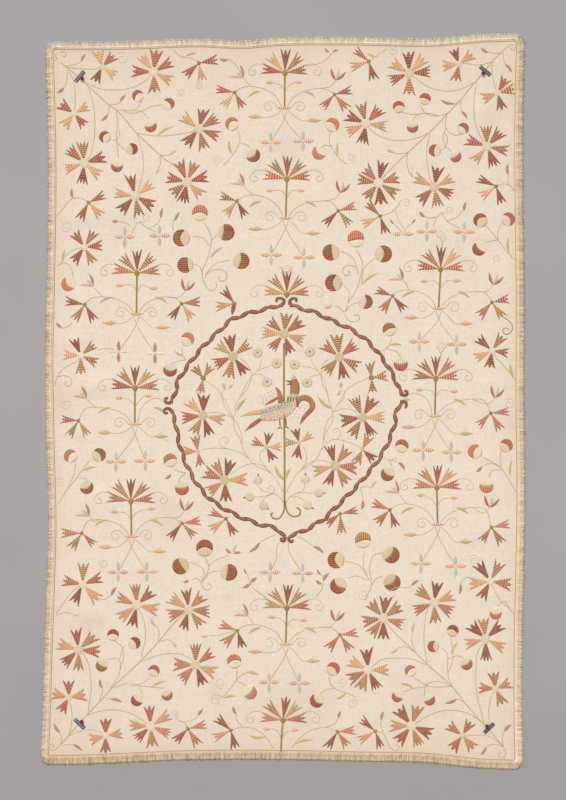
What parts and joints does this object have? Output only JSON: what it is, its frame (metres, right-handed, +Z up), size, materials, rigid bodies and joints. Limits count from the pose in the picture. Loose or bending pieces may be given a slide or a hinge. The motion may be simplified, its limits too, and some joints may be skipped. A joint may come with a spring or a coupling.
{
  "type": "embroidered bedspread",
  "caption": "Linen bedspread lying flat, embroidered with carnations, berries and a wreath with a bird, fringed on all edges, with ribbon tabs and beads near the corners.",
  "frame": {"origin": "middle of the bedspread's outline, fringe included, on the surface that it lies on", "axes": "+X across the width, +Y along the length to the head end, +Z up out of the embroidered face"},
  "size_m": [1.6486, 2.4986, 0.0155],
  "materials": {
    "linen": "matte plain-woven linen, cream with faint stains",
    "fringe": "soft matte cream yarn, loose at the tips",
    "ribbon": "woven ribbon, dark blue with a pale stripe",
    "silk": "crimson silk thread wound on a ball"
  },
  "bodies": {
    "root": {"ground_cloth": "linen", "fringe_top": "fringe", "fringe_right": "fringe", "fringe_bottom": "fringe", "fringe_left": "fringe", "corner_tab_top_left": "ribbon", "corner_tab_top_right": "ribbon", "corner_tab_bottom_right": "ribbon", "corner_tab_bottom_left": "ribbon", "corner_bead_top_left": "silk", "corner_bead_top_right": "silk", "corner_bead_bottom_right": "silk", "corner_bead_bottom_left": "silk"}
  },
  "joints": []
}
